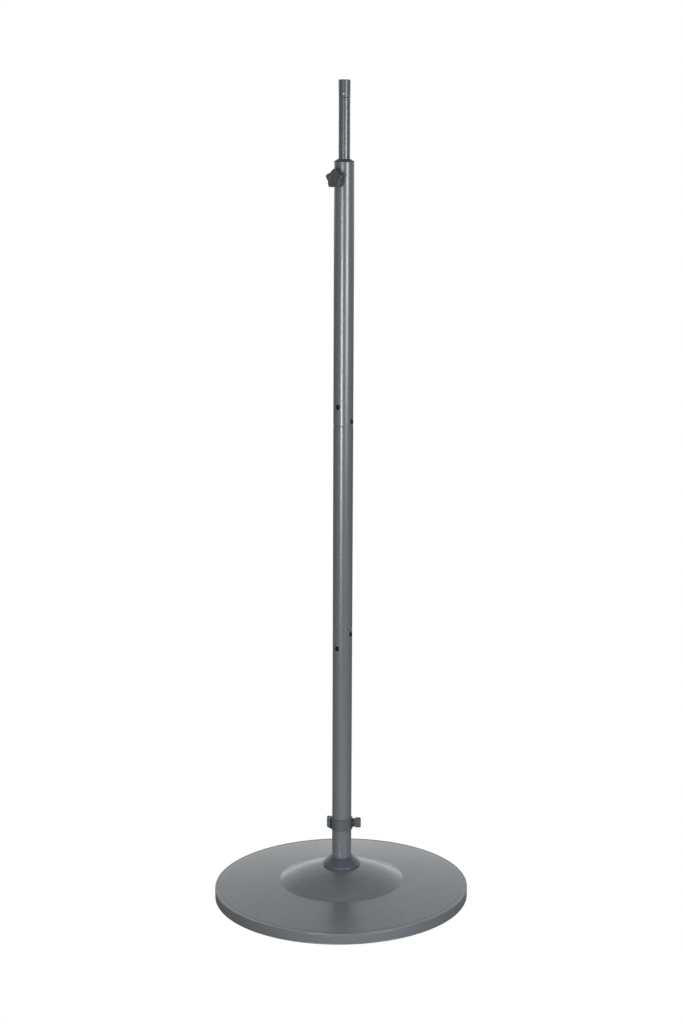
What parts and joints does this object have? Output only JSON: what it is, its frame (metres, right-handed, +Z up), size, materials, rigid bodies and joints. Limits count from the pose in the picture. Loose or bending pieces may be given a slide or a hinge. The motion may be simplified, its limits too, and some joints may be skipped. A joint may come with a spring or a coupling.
{
  "type": "pole display floor stand",
  "caption": "Floor stand for a pole display: weighted round base, sectional pole, and a thin mast that slides, turns and clamps, ending in a spigot with a snap button.",
  "frame": {"origin": "centre of the round base, on the floor under its rubber feet", "axes": "+Z up along the pole, -Y towards the front, +X to the right, where the cable ring's screw is"},
  "size_m": [0.5, 0.5, 1.5825],
  "materials": {
    "base_paint": "satin powder coat, dark grey, very fine texture",
    "pole_paint": "satin powder coat, dark grey",
    "ballast": "rough cast",
    "foot_rubber": "matt",
    "zinc_steel": "zinc plated",
    "coupler_steel": "bare, lightly oiled",
    "black_steel": "black oxide",
    "button_steel": "polished",
    "insert_brass": "machined",
    "collar_plastic": "satin moulded, dark blue grey",
    "ring_plastic": "satin moulded, dark grey",
    "cap_plastic": "satin moulded, dark grey",
    "knob_plastic": "matt moulded, near black",
    "nylon": "natural nylon"
  },
  "bodies": {
    "pole": {"rubber_feet": "foot_rubber", "base_pan": "base_paint", "pan_screws": "zinc_steel", "base_weight": "ballast", "base_cover": "base_paint", "centre_bolt": "zinc_steel", "lock_washer": "zinc_steel", "load_washer": "zinc_steel", "spacer_sleeve": "zinc_steel", "tube_plug": "zinc_steel", "lower_tube": "pole_paint", "lower_coupler": "coupler_steel", "lower_joint_screws": "black_steel", "middle_tube": "pole_paint", "upper_coupler": "coupler_steel", "upper_joint_screws": "black_steel", "upper_tube": "pole_paint", "guide_bush": "cap_plastic", "clamp_boss": "pole_paint"},
    "foot_collar": {"foot_collar": "collar_plastic"},
    "cable_ring": {"cable_ring": "ring_plastic", "ring_insert": "insert_brass"},
    "ring_pad": {"ring_pad": "nylon"},
    "ring_screw": {"ring_stud": "zinc_steel", "ring_knob": "knob_plastic"},
    "clamp_pad": {"clamp_pad": "nylon"},
    "star_knob": {"knob_stud": "zinc_steel", "star_knob": "knob_plastic"},
    "mast_glide": {"mast_glide": "nylon"},
    "mast": {"retaining_rings": "coupler_steel", "mast_tube": "pole_paint", "top_fitting": "pole_paint", "fitting_pins": "coupler_steel", "button_spring": "coupler_steel"},
    "snap_button": {"snap_button": "button_steel"}
  },
  "joints": [
    {"name": "collar_lift", "type": "slide", "parent": "pole", "child": "foot_collar", "axis": [0, 0, 1], "range_m": [0, 0.02]},
    {"name": "ring_slide", "type": "slide", "parent": "pole", "child": "cable_ring", "axis": [0, 0, 1], "range_m": [-0.03, 0.33]},
    {"name": "ring_screw_travel", "type": "slide", "parent": "cable_ring", "child": "ring_pad", "axis": [1, 0, 0], "range_m": [0, 0.0012]},
    {"name": "ring_screw_turn", "type": "hinge", "parent": "ring_pad", "child": "ring_screw", "pos_m": [0.03, 0, 0.1485], "axis": [1, 0, 0], "range_deg": [0, 540]},
    {"name": "clamp_screw_travel", "type": "slide", "parent": "pole", "child": "clamp_pad", "axis": [-0.5, -0.866, 0], "range_m": [0, 0.002]},
    {"name": "clamp_knob_turn", "type": "hinge", "parent": "clamp_pad", "child": "star_knob", "pos_m": [-0.015, -0.02598, 1.403], "axis": [-0.5, -0.866, 0], "range_deg": [0, 720]},
    {"name": "mast_slide", "type": "slide", "parent": "pole", "child": "mast_glide", "axis": [0, 0, 1], "range_m": [-0.1, 0.235]},
    {"name": "mast_turn", "type": "hinge", "parent": "mast_glide", "child": "mast", "pos_m": [0, 0, 1.3], "axis": [0, 0, 1], "continuous": true},
    {"name": "button_press", "type": "slide", "parent": "mast", "child": "snap_button", "axis": [-0.2079, -0.9781, 0], "range_m": [-0.002, 0], "stiffness_N_per_m": 2500, "springref_m": 0.002, "deforming": ["button_spring"]}
  ],
  "couplings": [
    {"joint": "ring_screw_turn", "follows": "ring_screw_travel", "rad_per_m": 7854},
    {"joint": "clamp_knob_turn", "follows": "clamp_screw_travel", "rad_per_m": 6283.2}
  ]
}
